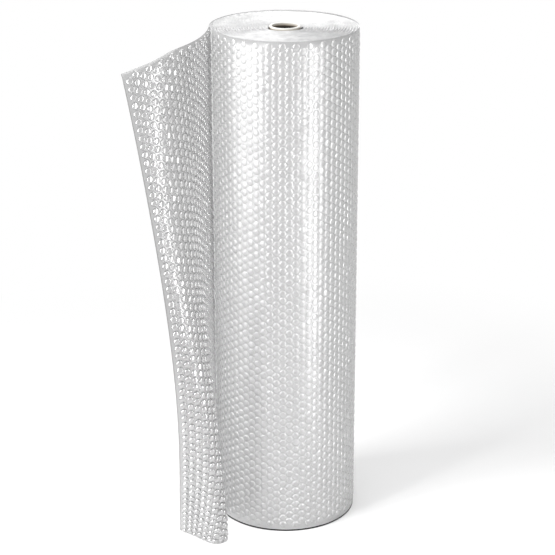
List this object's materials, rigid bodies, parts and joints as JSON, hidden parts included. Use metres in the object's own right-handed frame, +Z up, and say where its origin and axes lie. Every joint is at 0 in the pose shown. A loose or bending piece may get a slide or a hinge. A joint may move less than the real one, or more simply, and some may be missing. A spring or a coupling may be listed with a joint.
{
  "type": "bubble wrap roll",
  "caption": "Metre-wide roll of clear bubble film wound on a paperboard tube, standing on its end with its loose end pulled off and open.",
  "frame": {"origin": "on the axis of the tube, at the foot of the roll", "axes": "+Z up along the axis of the roll; +Y away from the viewer; the loose end of the film leaves the roll at -X and runs towards -Y"},
  "size_m": [0.4335, 0.422, 1],
  "materials": {
    "bubble_film": "clear polyethylene film, glossy, white where many layers lie on each other",
    "paperboard": "plain wound paperboard, matte"
  },
  "bodies": {
    "root": {"bubble_film": "bubble_film", "core_tube": "paperboard"}
  },
  "joints": []
}
